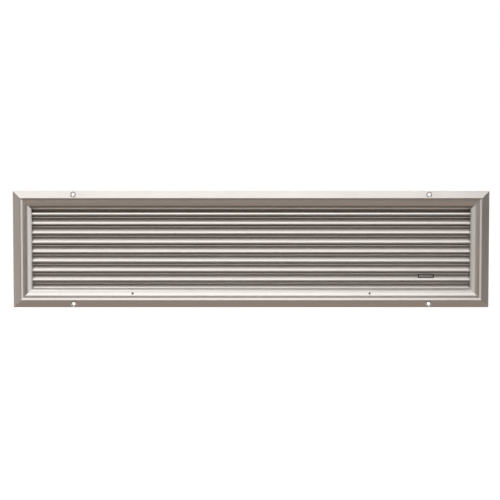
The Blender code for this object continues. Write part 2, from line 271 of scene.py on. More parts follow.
@dataclass(frozen=True)
class MetalFinish:
    """A metal whose grain, marks and worn edges vary its colour, roughness and surface."""

    name: str
    slot: Slot
    colour: tuple[float, float, float]
    worn_colour: tuple[float, float, float]
    roughness: float
    along: Along
    streak_colour: float = 0.03
    streak_roughness: float = 0.04
    cloud_roughness: float = 0.08
    grain_height: float = 0.02
    wear: float = 0.4
    stretch: float = 0.004

    def material(self, groups: GroupSet) -> bpy.types.Material:
        """Makes the material, or finds the one made before.

        Args:
            groups: The shared shader groups.

        Returns:
            The material, with a Principled shader of metallic 1.
        """
        found = bpy.data.materials.get(self.name)
        if found:
            return found
        made = bpy.data.materials.new(self.name)
        made.use_nodes = True
        tree = made.node_tree
        shader = tree.nodes["Principled BSDF"]
        shader.inputs["Metallic"].default_value = 1.0
        grain = self._place(tree, groups.grain)
        grain.inputs["Stretch"].default_value = tuple(
            self.stretch if direction else 1.0 for direction in self.along.value
        )
        marks = self._place(tree, groups.marks)
        worn = self._place(tree, groups.wear)
        self._paint(tree, shader, grain, worn)
        self._roughen(tree, shader, grain, marks)
        bump = add_node(tree, "ShaderNodeBump")
        bump.inputs["Strength"].default_value = self.grain_height
        bump.inputs["Distance"].default_value = GRAIN_DEPTH
        tree.links.new(grain.outputs["Height"], bump.inputs["Height"])
        tree.links.new(bump.outputs["Normal"], shader.inputs["Normal"])
        return made

    def _place(self, tree: bpy.types.NodeTree, group: ShaderGroup) -> bpy.types.Node:
        """Puts a shared group into a material's tree."""
        return add_node(tree, "ShaderNodeGroup", node_tree=group.tree)

    def _paint(
        self,
        tree: bpy.types.NodeTree,
        shader: bpy.types.Node,
        grain: bpy.types.Node,
        worn: bpy.types.Node,
    ) -> None:
        """Colour: the base varied by the streaks, and the worn colour at the edges.

        Args:
            tree: The material's tree.
            shader: Its Principled shader.
            grain: The placed grain group.
            worn: The placed edge wear group.
        """
        shade = add_node(tree, "ShaderNodeMapRange")
        shade.inputs["To Min"].default_value = 1.0 - self.streak_colour
        shade.inputs["To Max"].default_value = 1.0 + self.streak_colour
        tree.links.new(grain.outputs["Streaks"], shade.inputs["Value"])
        base = add_node(tree, "ShaderNodeVectorMath", operation="SCALE")
        base.inputs[0].default_value = self.colour
        tree.links.new(shade.outputs["Result"], base.inputs["Scale"])
        mask = add_node(tree, "ShaderNodeMath", operation="MULTIPLY")
        mask.inputs[1].default_value = self.wear
        tree.links.new(worn.outputs["Mask"], mask.inputs[0])
        mixed = add_node(tree, "ShaderNodeMix", data_type="RGBA")
        mixed.inputs["B"].default_value = (*self.worn_colour, 1.0)
        tree.links.new(mask.outputs["Value"], mixed.inputs["Factor"])
        tree.links.new(base.outputs["Vector"], mixed.inputs["A"])
        tree.links.new(mixed.outputs["Result"], shader.inputs["Base Color"])

    def _roughen(
        self,
        tree: bpy.types.NodeTree,
        shader: bpy.types.Node,
        grain: bpy.types.Node,
        marks: bpy.types.Node,
    ) -> None:
        """Roughness: its middle value, plus the streaks and the handling marks about it.

        Args:
            tree: The material's tree.
            shader: Its Principled shader.
            grain: The placed grain group.
            marks: The placed marks group.
        """
        streaks = add_node(tree, "ShaderNodeMapRange")
        streaks.inputs["To Min"].default_value = self.roughness - self.streak_roughness / 2
        streaks.inputs["To Max"].default_value = self.roughness + self.streak_roughness / 2
        tree.links.new(grain.outputs["Streaks"], streaks.inputs["Value"])
        clouds = add_node(tree, "ShaderNodeMath", operation="MULTIPLY_ADD")
        clouds.inputs[1].default_value = self.cloud_roughness
        tree.links.new(marks.outputs["Clouds"], clouds.inputs[0])
        tree.links.new(streaks.outputs["Result"], clouds.inputs[2])
        tree.links.new(clouds.outputs["Value"], shader.inputs["Roughness"])


# --- outlines and surfaces ---------------------------------------------------------------------


@dataclass
class Pen:
    """Draws a closed outline as whole runs of points: straight runs, round bends and jumps.

    A straight run has a second point just inside each end, which keeps the shading of the flat
    beside a bend even.
    """

    start: tuple[float, float]
    heading: float
    hold: float = 0.04
    runs: list[np.ndarray] = field(default_factory=list)

    def __post_init__(self) -> None:
        """Turns the heading into radians and puts the pen down."""
        self.heading = math.radians(self.heading)
        self.runs.append(np.array([self.start]))

    @property
    def here(self) -> np.ndarray:
        """The pen's place."""
        return self.runs[-1][-1]

    def turn(self, degrees: float) -> None:
        """Turns the pen to the left, or to the right for negative degrees."""
        self.heading += math.radians(degrees)

    def go(self, distance: float) -> None:
        """Draws straight ahead: here plus the distance times the heading's unit vector."""
        ahead = np.array([math.cos(self.heading), math.sin(self.heading)])
        self.to(*(self.here + distance * ahead))

    def to(self, a: float, b: float) -> None:
        """Draws a straight line to a point, with holding points near its ends.

        Args:
            a: The target's first coordinate.
            b: Its second coordinate.
        """
        target = np.array([a, b])
        length = float(np.linalg.norm(target - self.here))
        share = min(self.hold / length, 0.25)
        shares = np.array([share, 1.0 - share, 1.0])[:, None]
        self.runs.append(self.here + shares * (target - self.here))

    def bend(self, radius: float, degrees: float, arc_step: float = 3.0) -> None:
        """Draws an arc: its middle is one radius to the side, and the heading turns evenly.

        Args:
            radius: The arc's radius.
            degrees: The turn to the left, or to the right where negative.
            arc_step: About how many degrees lie between two points.
        """
        side = math.copysign(radius, degrees)
        middle = self.here + side * np.array([-math.sin(self.heading), math.cos(self.heading)])
        steps = max(3, round(abs(degrees) / arc_step))
        headings = self.heading + math.radians(degrees) * np.arange(1, steps + 1) / steps
        arc = np.column_stack([np.sin(headings), -np.cos(headings)])
        self.runs.append(middle + side * arc)
        self.heading = float(headings[-1])

    def outline(self) -> np.ndarray:
        """The outline's points, without the last where it meets the first.

        Returns:
            Array of (points, 2).
        """
        points = np.concatenate(self.runs)
        if np.linalg.norm(points[-1] - points[0]) < 1e-6:
            points = points[:-1]
        return points


def grid_faces(rows: int, columns: int) -> np.ndarray:
    """Quads of a grid of points whose columns close round, numbered row by row.

    Args:
        rows: Number of rows.
        columns: Number of points in a row.

    Returns:
        Array of (quads, 4), with the points' numbers.
    """
    row, column = np.meshgrid(np.arange(rows - 1), np.arange(columns), indexing="ij")
    following = (column + 1) % columns
    corners = [
        row * columns + column,
        row * columns + following,
        (row + 1) * columns + following,
        (row + 1) * columns + column,
    ]
    return np.stack(corners, axis=-1).reshape(-1, 4)


def tube_mesh(name: str, points: np.ndarray, smooth_below: float = 25.0) -> bpy.types.Object:
    """Makes a closed object from rings of points, with a flat cap on the first and last ring.

    Args:
        name: The object's name.
        points: Array of (rings, points in a ring, 3), in metres.
        smooth_below: Edges whose faces differ by less than this many degrees are shaded smooth.

    Returns:
        The object, linked to the scene, with its faces pointing out.
    """
    rings, size, _ = points.shape
    faces = grid_faces(rings, size).tolist()
    faces.append(list(range(size))[::-1])
    faces.append(list(range((rings - 1) * size, rings * size)))
    mesh = bpy.data.meshes.new(name)
    mesh.from_pydata(points.reshape(-1, 3), [], faces)
    return finish_mesh(name, mesh, smooth_below)


def finish_mesh(name: str, mesh: bpy.types.Mesh, smooth_below: float) -> bpy.types.Object:
    """Turns a closed mesh's faces outwards, shades it and puts it into the scene.

    Args:
        name: The object's name.
        mesh: The mesh, closed.
        smooth_below: Edges below this many degrees are shaded smooth.

    Returns:
        The object, linked to the scene.
    """
    mesh.update()
    if signed_volume(mesh) < 0:
        mesh.flip_normals()
    shade(mesh, smooth_below)
    made = bpy.data.objects.new(name, mesh)
    bpy.context.scene.collection.objects.link(made)
    return made


def signed_volume(mesh: bpy.types.Mesh) -> float:
    """Six times the mesh's volume: the sum of the triple products of its triangles.

    Args:
        mesh: The mesh to measure.

    Returns:
        The number, below zero for a mesh that is inside out.
    """
    mesh.calc_loop_triangles()
    places = np.empty(len(mesh.vertices) * 3)
    mesh.vertices.foreach_get("co", places)
    corners = np.empty(len(mesh.loop_triangles) * 3, dtype=int)
    mesh.loop_triangles.foreach_get("vertices", corners)
    a, b, c = places.reshape(-1, 3)[corners.reshape(-1, 3)].transpose(1, 0, 2)
    return float(np.einsum("ij,ij->", a, np.cross(b, c)))


def shade(mesh: bpy.types.Mesh, smooth_below: float) -> None:
    """Shades a mesh smooth, apart from its sharper edges."""
    mesh.shade_smooth()
    mesh.set_sharp_from_angle(angle=math.radians(smooth_below))


def turned(profile: np.ndarray, sides: int = 48) -> np.ndarray:
    """Rings of a shape turned about Z: each (radius, height) is carried round a circle.

    Args:
        profile: Array of (rings, 2), each row a radius and a height.
        sides: Number of points in a ring.

    Returns:
        Array of (rings, sides, 3).
    """
    angles = 2 * math.pi * np.arange(sides) / sides
    radius, height = profile[:, :1], profile[:, 1:]
    return np.stack(
        [radius * np.cos(angles), radius * np.sin(angles), height + 0 * angles], axis=-1
    )


def threaded(root: float, crest: float, pitch: float, low: float, high: float) -> np.ndarray:
    """Rings of a screw thread about Z, in millimetres.

    At height h and angle a the radius is the root, plus the thread's depth times a triangle wave
    of h / pitch - a / a full turn. The wave fades out over half a pitch at both ends.

    Args:
        root: Radius at the bottom of the thread.
        crest: Radius at its top.
        pitch: Rise in a full turn.
        low: Height of the first ring.
        high: Height of the last ring.

    Returns:
        Array of (rings, 48, 3).
    """
    sides = 48
    turns = np.arange(sides) / sides
    height = np.linspace(low, high, round((high - low) / pitch * 12))[:, None]
    wave = 1.0 - 2.0 * np.abs((height / pitch - turns) % 1.0 - 0.5)
    fade = np.clip(np.minimum(height - low, high - height) / (pitch / 2), 0.0, 1.0)
    radius = root + (crest - root) * wave * fade
    angles = 2 * math.pi * turns
    return np.stack(
        [radius * np.cos(angles), radius * np.sin(angles), height + 0 * angles], axis=-1
    )


def soften(piece: bpy.types.Object, width: float) -> None:
    """Breaks a piece's sharp edges with a live Bevel of a width in millimetres.

    Args:
        piece: The piece.
        width: The bevel's width, in millimetres.
    """
    bevel = piece.modifiers.new("broken_edges", "BEVEL")
    bevel.width = width * MM
    bevel.segments = 2
    bevel.limit_method = "ANGLE"
    bevel.angle_limit = math.radians(50.0)


def turn_matrix(about: int, degrees: float) -> np.ndarray:
    """A rotation about axis 0, 1 or 2, as a 3 by 3 matrix for column vectors.

    Args:
        about: The axis: 0 for X, 1 for Y and 2 for Z.
        degrees: The angle.

    Returns:
        The matrix.
    """
    angle = math.radians(degrees)
    cosine, sine = math.cos(angle), math.sin(angle)
    first, second = [(1, 2), (2, 0), (0, 1)][about]
    matrix = np.eye(3)
    matrix[first, first] = matrix[second, second] = cosine
    matrix[first, second], matrix[second, first] = -sine, sine
    return matrix


def shaft(
    place: tuple | np.ndarray, radius: float, turn: np.ndarray, reach: float = 5.0
) -> bpy.types.Object:
    """A cutter for a straight round hole about a place, in millimetres."""
    profile = np.array([[radius, -reach], [radius, reach]])
    return tube_mesh("hole_cutter", (turned(profile) @ turn.T + np.array(place)) * MM)


def cut_out(
    piece: bpy.types.Object, cutters: list[bpy.types.Object], smooth_below: float = 25.0
) -> None:
    """Cuts the cutters out of a piece, keeps the result as its mesh and removes the cutters.

    Args:
        piece: The piece that is cut.
        cutters: Closed objects, which are used up.
        smooth_below: Edges below this many degrees are shaded smooth.
    """
    for cutter in cutters:
        modifier = piece.modifiers.new(cutter.name, "BOOLEAN")
        modifier.object = cutter
    graph = bpy.context.evaluated_depsgraph_get()
    cut = bpy.data.meshes.new_from_object(piece.evaluated_get(graph))
    piece.modifiers.clear()
    piece.data = cut
    shade(cut, smooth_below)
    for cutter in cutters:
        bpy.data.objects.remove(cutter)


def adopt(
    piece: bpy.types.Object, node: str, finish: "MetalFinish | PlateFinish", groups: GroupSet
) -> None:
    """Gives a new piece its finish and puts it in a CAD node's place.

    Args:
        piece: The new piece.
        node: The CAD node that it replaces.
        finish: Its finish.
        groups: The shared shader groups.
    """
    piece.data.materials.clear()
    piece.data.materials.append(finish.material(groups))
    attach(piece, BODY)
    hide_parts(node)
    LOG.info("%s: %d faces, for %s", piece.name, len(piece.data.polygons), node)


# --- the frame ---------------------------------------------------------------------------------


@dataclass
class MitredFrame:
    """Four extruded rails with mitred ends. Sizes are in millimetres.

    The rail's section has u from the outer edge inwards and v out of the wall.
    """

    length: float = 644.0
    height: float = 158.0
    gap: float = 0.04
    wall: float = 1.6
    collar_depth: float = 32.0
    flange_edge: float = 1.2
    edge_radius: float = 0.5
    flange_slope: float = 9.0
    flange_run: float = 9.06
    crest_radius: float = 2.0
    bevel_slope: float = 30.0
    bevel_run: float = 2.6
    valley_run: float = 0.7
    roll_radius: float = 13.3
    roll_slope: float = 60.0
    collar_u: float = 15.0
    rib_v: float = -24.8
    rib_height: float = 1.6
    rib_thick: float = 1.0
    rear_lip_u: float = 21.0
    relief: tuple[float, float, float] = (7.6, 10.4, 0.9)
    flange_back_u: float = 11.4
    web_back_v: float = -0.9
    screw_x: float = 240.5
    screw_u: float = 4.9
    screw_radius: float = 2.25
    countersink_radius: float = 4.0
    countersink_depth: float = 2.15
    drain_x: float = 160.7
    drain_u: float = 18.8
    drain_radius: float = 1.5

    def section(self) -> np.ndarray:
        """The rail's section: flange, crest, valley and roll in front, and the collar behind.

        Returns:
            Array of (points, 2), in millimetres.
        """
        pen = Pen((0.0, self.flange_edge), 90.0)
        pen.bend(self.edge_radius, self.flange_slope - 90.0)
        pen.go(self.flange_run)
        pen.bend(self.crest_radius, -self.flange_slope - self.bevel_slope)
        pen.go(self.bevel_run)
        pen.turn(self.bevel_slope)
        pen.go(self.valley_run)
        roll_u = pen.here[0]
        pen.bend(self.roll_radius, -self.roll_slope)
        pen.bend(self.wall / 2, -180.0)
        inside = self.collar_u + self.wall
        inner_radius = self.roll_radius - self.wall
        joint = math.degrees(math.asin((inside - roll_u) / inner_radius))
        pen.bend(inner_radius, self.roll_slope - joint)
        rib_back = self.rib_v - self.rib_thick
        relief_from, relief_to, relief_depth = self.relief
        for corner in (
            (inside, self.rib_v),
            (inside + self.rib_height, self.rib_v),
            (inside + self.rib_height, rib_back),
            (inside, rib_back),
            (inside, self.wall - self.collar_depth),
            (self.rear_lip_u, self.wall - self.collar_depth),
            (self.rear_lip_u, -self.collar_depth),
            (self.collar_u, -self.collar_depth),
            (self.collar_u, self.web_back_v),
            (self.flange_back_u - self.web_back_v, self.web_back_v),
            (self.flange_back_u, 0.0),
            (relief_to, 0.0),
            (relief_to, relief_depth),
            (relief_from, relief_depth),
            (relief_from, 0.0),
            (0.0, 0.0),
            (0.0, self.flange_edge),
        ):
            pen.to(*corner)
        return pen.outline()

    def rail(self, side: Side) -> bpy.types.Object:
        """A rail: the section carried along its side.

        With t from -1 to 1, a point is at x = t (half length - u - gap), y = -v, z = -u from the
        outer edge, which cuts the ends at 45 degrees. The whole is turned about Y to its side.

        Args:
            side: The rail's side of the frame.

        Returns:
            The rail's object, before its holes.
        """
        u, v = self.section().T
        upright = side in (Side.LEFT, Side.RIGHT)
        half = (self.height if upright else self.length) / 2
        out = (self.length if upright else self.height) / 2
        reach = half - self.gap / math.sqrt(2) - u
        stations = np.linspace(-1.0, 1.0, 9)[:, None]
        points = np.stack(
            [stations * reach, -v + 0 * stations, out - u + 0 * stations], axis=-1
        )
        placed = points @ turn_matrix(1, side.value).T
        return tube_mesh(f"{side.name.lower()}_rail", placed * MM)

    def cone(self, x: float, up: float) -> bpy.types.Object:
        """A cutter for a countersink that is square to the sloping flange.

        Args:
            x: The hole's place along the rail.
            up: 1 for the top rail and -1 for the bottom rail.

        Returns:
            The cutter.
        """
        slope = math.tan(math.radians(self.flange_slope))
        front = self.flange_edge + self.edge_radius + (self.screw_u - self.edge_radius) * slope
        depth, radius = self.countersink_depth, self.countersink_radius
        profile = np.array([[radius - depth, -depth], [radius, 0.0], [radius, depth]])
        leaning = turn_matrix(0, 90.0 - up * self.flange_slope)
        place = np.array([x, -front, up * (self.height / 2 - self.screw_u)])
        return tube_mesh("countersink_cutter", (turned(profile) @ leaning.T + place) * MM)

    def cutters(self, side: Side) -> list[bpy.types.Object]:
        """The cutters for a rail's holes.

        Args:
            side: The rail's side of the frame.

        Returns:
            The cutters' objects.
        """
        through, across = turn_matrix(0, 90.0), turn_matrix(1, 90.0)
        if side in (Side.LEFT, Side.RIGHT):
            x = (self.length / 2 - self.collar_u) * (1 if side is Side.RIGHT else -1)
            return [
                shaft((x, *place), COMB_SCREW_HOLE, across)
                for place in COMB_SCREW_PLACES.values()
            ]
        up = 1.0 if side is Side.TOP else -1.0
        screw_z = up * (self.height / 2 - self.screw_u)
        found = []
        for x in (-self.screw_x, self.screw_x):
            found.append(shaft((x, 0.0, screw_z), self.screw_radius, through))
            found.append(self.cone(x, up))
        if side is Side.BOTTOM:
            drain_z = self.drain_u - self.height / 2
            found += [
                shaft((x, 0.0, drain_z), self.drain_radius, through)
                for x in (-self.drain_x, self.drain_x)
            ]
        return found

    def build(self, groups: GroupSet) -> None:
        """Builds, drills and dresses the four rails.

        Args:
            groups: The shared shader groups.
        """
        for side in Side:
            rail = self.rail(side)
            cut_out(rail, self.cutters(side))
            upright = side in (Side.LEFT, Side.RIGHT)
            finish = anodised(Along.Z if upright else Along.X)
            adopt(rail, f"frame_rail_{side.name.lower()}", finish, groups)


def anodised(along: Along) -> MetalFinish:
    """Satin anodised aluminium, drawn along X or Z.

    Args:
        along: The direction in which the piece was drawn.

    Returns:
        The finish.
    """
    return MetalFinish(
        name=f"satin_anodised_{along.name.lower()}",
        slot=Slot.ANODISED,
        colour=(0.80, 0.765, 0.73),
        worn_colour=(0.90, 0.88, 0.86),
        roughness=0.30,
        along=along,
    )


def mill() -> MetalFinish:
    """Mill finish aluminium sheet.

    Returns:
        The finish.
    """
    return MetalFinish(
        name="mill_aluminium_sheet",
        slot=Slot.MILL,
        colour=(0.72, 0.72, 0.73),
        worn_colour=(0.85, 0.85, 0.86),
        roughness=0.42,
        along=Along.Z,
    )


def stainless() -> MetalFinish:
    """Plain stainless steel.

    Returns:
        The finish.
    """
    return MetalFinish(
        name="plain_stainless",
        slot=Slot.STAINLESS,
        colour=(0.60, 0.60, 0.61),
        worn_colour=(0.75, 0.75, 0.76),
        roughness=0.28,
        along=Along.NONE,
    )


@dataclass(frozen=True)
class PlateFinish:
    """A satin plate with a dark border. The attribute "border" is 1 on the border."""

    name: str = "bordered_plate"
    slot: Slot = Slot.PLATE
    border: tuple[float, float, float] = (0.035, 0.03, 0.03)
    field: tuple[float, float, float] = (0.46, 0.43, 0.41)
    roughness: float = 0.36
    grain_height: float = 0.05

    def material(self, groups: GroupSet) -> bpy.types.Material:
        """Makes the material: two colours mixed by the border, and rolled grain in both.

        Args:
            groups: The shared shader groups.

        Returns:
            The material.
        """
        made = bpy.data.materials.new(self.name)
        made.use_nodes = True
        tree = made.node_tree
        shader = tree.nodes["Principled BSDF"]
        shader.inputs["Metallic"].default_value = 0.8
        grain = add_node(tree, "ShaderNodeGroup", node_tree=groups.grain.tree)
        grain.inputs["Stretch"].default_value = (0.02, 1.0, 1.0)
        marks = add_node(tree, "ShaderNodeGroup", node_tree=groups.marks.tree)
        border = add_node(tree, "ShaderNodeAttribute", attribute_name="border")
        mixed = add_node(tree, "ShaderNodeMix", data_type="RGBA")
        mixed.inputs["A"].default_value = (*self.field, 1.0)
        mixed.inputs["B"].default_value = (*self.border, 1.0)
        tree.links.new(border.outputs["Fac"], mixed.inputs["Factor"])
        shade = add_node(tree, "ShaderNodeMapRange")
        shade.inputs["To Min"].default_value = 0.88
        shade.inputs["To Max"].default_value = 1.12
        tree.links.new(grain.outputs["Streaks"], shade.inputs["Value"])
        base = add_node(tree, "ShaderNodeVectorMath", operation="SCALE")
        tree.links.new(mixed.outputs["Result"], base.inputs[0])
        tree.links.new(shade.outputs["Result"], base.inputs["Scale"])
        tree.links.new(base.outputs["Vector"], shader.inputs["Base Color"])
        rough = add_node(tree, "ShaderNodeMath", operation="ADD")
        rough.inputs[1].default_value = self.roughness
        tree.links.new(marks.outputs["Clouds"], rough.inputs[0])
        tree.links.new(rough.outputs["Value"], shader.inputs["Roughness"])
        bump = add_node(tree, "ShaderNodeBump")
        bump.inputs["Strength"].default_value = self.grain_height
        bump.inputs["Distance"].default_value = GRAIN_DEPTH
        tree.links.new(grain.outputs["Height"], bump.inputs["Height"])
        tree.links.new(bump.outputs["Normal"], shader.inputs["Normal"])
        return made


# --- the blades --------------------------------------------------------------------------------


@dataclass
class LouvreBank:
    """The fixed blades: a rolled nose, a ribbed face and an upstand. Sizes are in millimetres."""

    count: int = 9
    pitch: float = 12.83
    top_z: float = 45.9
    nose_y: float = 8.2
    length: float = 609.6
    slope: float = 48.5
    thick: float = 1.3
    nose_run: float = 0.4
    nose_radius: float = 5.0
    rib: float = 0.8
    below_rib: float = 6.4
    above_rib: float = 2.8
    upstand_radius: float = 0.8
    upstand_run: float = 1.4

    def section(self, grow: float = 0.0) -> np.ndarray:
        """The blade's section in (y, z) about its nose's foot.

        Args:
            grow: How far the surface is moved outwards, in millimetres, as a slot needs.

        Returns:
            Array of (points, 2).
        """
        lean = 90.0 - self.slope
        pen = Pen((-grow, 0.0), 90.0)
        pen.go(self.nose_run)
        pen.bend(self.nose_radius + grow, -lean)
        pen.go(self.below_rib - grow)
        pen.turn(90.0)
        pen.bend(self.rib + grow, -180.0, 9.0)
        pen.turn(90.0)
        pen.go(self.above_rib - grow)
        pen.bend(self.upstand_radius - grow, lean, 9.0)
        pen.go(self.upstand_run)
        pen.bend(self.thick / 2 + grow, -180.0, 9.0)
        pen.go(self.upstand_run)
        pen.bend(self.upstand_radius + self.thick + grow, -lean, 6.0)
        pen.go(self.below_rib + 2 * self.rib + self.above_rib)
        pen.bend(self.nose_radius - self.thick - grow, lean)
        pen.go(self.nose_run)
        pen.bend(self.thick / 2 + grow, -180.0, 9.0)
        return pen.outline()

    def foot_z(self, number: int) -> float:
        """Height of a blade's nose's foot, with the blades counted from 1 at the top."""
        return self.top_z - (number - 1) * self.pitch

    def bar(self, number: int, low: float, high: float, grow: float = 0.0) -> np.ndarray:
        """A blade's section at its place, carried along X from low to high, in millimetres.

        Args:
            number: The blade's number, counted from 1 at the top.
            low: Where it starts along X.
            high: Where it ends.
            grow: How far the surface is moved outwards.

        Returns:
            Array of (rings, points, 3).
        """
        y, z = self.section(grow).T
        stations = np.linspace(low, high, 9)[:, None]
        lift = self.foot_z(number)
        return np.stack(
            [stations + 0 * y, y + self.nose_y + 0 * stations, z + lift + 0 * stations], axis=-1
        )

    def build(self, groups: GroupSet) -> None:
        """Builds and dresses the blades.

        Args:
            groups: The shared shader groups.
        """
        for number in range(1, self.count + 1):
            points = self.bar(number, -self.length / 2, self.length / 2)
            blade = tube_mesh(f"blade_{number}", points * MM)
            adopt(blade, f"louvre_blade_{number}", anodised(Along.X), groups)


@dataclass
class BlankPlate:
    """A small plate with a raised dark border, on a blade's face. Sizes are in millimetres."""

    blades: LouvreBank
    blade: int = 8
    x: float = 237.8
    length: float = 21.6
    width: float = 5.6
    thick: float = 0.4
    corner: float = 0.8
    along_face: float = 3.1
    gap: float = 0.3
    border_ends: float = 1.5
    border_sides: float = 0.6
    edge: float = 0.08
    sunk: float = 0.1

    def ring(self, inset_x: float, inset_z: float) -> np.ndarray:
        """A rounded rectangle, with its ends and its sides moved in by two insets.

        The corner at angle a is the corner's middle plus its radius times (cos a, sin a).

        Args:
            inset_x: How far each end is moved in.
            inset_z: How far each side is moved in.

        Returns:
            Array of (points, 2), in millimetres.
        """
        angles = np.radians(np.arange(0.0, 360.0, 7.5))
        radius = max(self.corner - min(inset_x, inset_z), 0.15)
        middle = np.array([self.length / 2 - inset_x, self.width / 2 - inset_z]) - radius
        turn = np.column_stack([np.cos(angles), np.sin(angles)])
        quarter = np.column_stack([np.sign(turn[:, 0] + 1e-9), np.sign(turn[:, 1] + 1e-9)])
        return middle * quarter + radius * turn

    def build(self, groups: GroupSet) -> None:
        """Builds the plate: rings from its back over its rim and border to its field.

        Args:
            groups: The shared shader groups.
        """
        steps = [
            (0.0, 0.0, 0.0),
            (0.0, 0.0, self.thick - self.edge),
            (self.edge, self.edge, self.thick),
            (self.border_ends, self.border_sides, self.thick),
            (self.border_ends + self.edge, self.border_sides + self.edge, self.thick - self.sunk),
        ]
        flat = np.stack([self.ring(end, side) for end, side, _ in steps])
        height = np.array([step[2] for step in steps])[:, None, None] + 0 * flat[:, :, :1]
        lying = np.concatenate([flat, height - self.thick / 2], axis=-1)
        slope = math.radians(self.blades.slope)
        outwards = self.blades.nose_radius + self.gap + self.thick / 2
        along = np.array([math.cos(slope), math.sin(slope)])
        out = np.array([-math.sin(slope), math.cos(slope)])
        middle = (self.blades.nose_y + self.blades.nose_radius, self.blades.foot_z(self.blade))
        y, z = middle + self.along_face * along + outwards * out + (0.0, self.blades.nose_run)
        placed = lying @ turn_matrix(0, self.blades.slope).T + (self.x, y, z)
        plate = tube_mesh("small_plate", placed * MM)
        border = plate.data.attributes.new("border", "FLOAT", "POINT")
        on_border = np.repeat([1.0, 1.0, 1.0, 1.0, 0.0], flat.shape[1])
        border.data.foreach_set("value", on_border)
        adopt(plate, "blank_plate", PlateFinish(), groups)


# --- behind the rails --------------------------------------------------------------------------


@dataclass
class EndCombs:
    """The two punched plates that carry the blades' ends. Sizes are in millimetres."""

    blades: LouvreBank
    outside_x: float = 305.1
    thick: float = 1.6
    front_y: float = 5.0
    back_y: float = 24.0
    half_height: float = 62.1
    gap: float = 0.3
    corner: float = 0.8
    edge_break: float = 0.12
    slot_past: float = 1.0

    def build(self, groups: GroupSet) -> None:
        """Builds both combs: a plate with rounded corners, cut by the blades' grown sections.

        Args:
            groups: The shared shader groups.
        """
        for end in End:
            inner, outer = sorted(end.value * (self.outside_x - part) for part in (self.thick, 0.0))
            y, z = self.outline().T
            x = np.array([[inner], [outer]])
            plate = np.stack([x + 0 * y, y + 0 * x, z + 0 * x], axis=-1)
            comb = tube_mesh(f"comb_{end.name.lower()}", plate * MM)
            low, high = inner - self.slot_past, outer + self.slot_past
            cutters = [
                tube_mesh("slot_cutter", self.blades.bar(number, low, high, self.gap) * MM)
                for number in range(1, self.blades.count + 1)
            ]
            cutters += [
                shaft((end.value * self.outside_x, *place), COMB_SCREW_HOLE, turn_matrix(1, 90.0))
                for place in COMB_SCREW_PLACES.values()
            ]
            cut_out(comb, cutters)
            soften(comb, self.edge_break)
            adopt(comb, f"end_comb_{end.name.lower()}", mill(), groups)

    def outline(self) -> np.ndarray:
        """The plate's outline in (y, z), with its corners rounded.

        Returns:
            Array of (points, 2), in millimetres.
        """
        pen = Pen((self.front_y + self.corner, -self.half_height), 0.0)
        for run in (self.back_y - self.front_y, 2 * self.half_height) * 2:
            pen.go(run - 2 * self.corner)
            pen.bend(self.corner, 90.0, 15.0)
        return pen.outline()


@dataclass
class CombScrews:
    """Four pan head screws with a cross recess. Sizes are in millimetres."""

    seat_x: float = 303.2
    shank: float = 1.35
    root: float = 1.05
    pitch: float = 0.7
    length: float = 4.4
    tip: float = 0.4
    head: float = 2.75
    head_height: float = 1.9
    cross: float = 3.0
    cross_width: float = 0.6
    cross_depth: float = 1.1

    def body(self) -> np.ndarray:
        """The tip, the threaded shank and the pan head, whose rim is a quarter of an ellipse.

        Returns:
            Array of (rings, 48, 3), with the head's seat at height 0.
        """
        tip = turned(np.array([[self.root - self.tip, -self.length]]))
        shank = threaded(self.root, self.shank, self.pitch, self.tip - self.length, -0.1)
        rise = np.radians(np.linspace(0.0, 78.0, 12))
        flat = self.head * 0.45
        rim = np.column_stack(
            [flat + (self.head - flat) * np.cos(rise), self.head_height * (0.3 + 0.7 * np.sin(rise))]
        )
        rim[:, 1] *= self.head_height / rim[-1, 1]
        head = turned(np.concatenate([[[self.shank, 0.0], [self.head, 0.0]], rim]))
        return np.concatenate([tip, shank, head])

    def recess(self) -> np.ndarray:
        """The cross recess: a cross whose size shrinks with its depth.

        Returns:
            Array of (rings, 12, 3), as a cutter.
        """
        long, short = self.cross / 2, self.cross_width / 2
        quarter = np.array([[long, -short], [long, short], [short, short]])
        turns = [quarter @ turn_matrix(2, 90.0 * step)[:2, :2].T for step in range(4)]
        cross = np.concatenate(turns)
        sizes = np.array([[0.45], [1.0], [1.15]])
        heights = self.head_height + np.array([[-self.cross_depth], [0.0], [0.4]])
        return np.stack(
            [sizes * cross[:, 0], sizes * cross[:, 1], heights + 0 * cross[:, 0]], axis=-1
        )

    def build(self, groups: GroupSet) -> None:
        """Builds the screws, with their heads towards the middle of the grille.

        Args:
            groups: The shared shader groups.
        """
        for end in End:
            turn = turn_matrix(1, -90.0 * end.value)
            for level, (y, z) in COMB_SCREW_PLACES.items():
                place = np.array([end.value * self.seat_x, y, z])
                label = f"{end.name.lower()}_{level}"
                screw = tube_mesh(f"pan_head_screw_{label}", (self.body() @ turn.T + place) * MM)
                cut_out(screw, [tube_mesh("cross", (self.recess() @ turn.T + place) * MM)])
                adopt(screw, f"comb_screw_{label}", stainless(), groups)


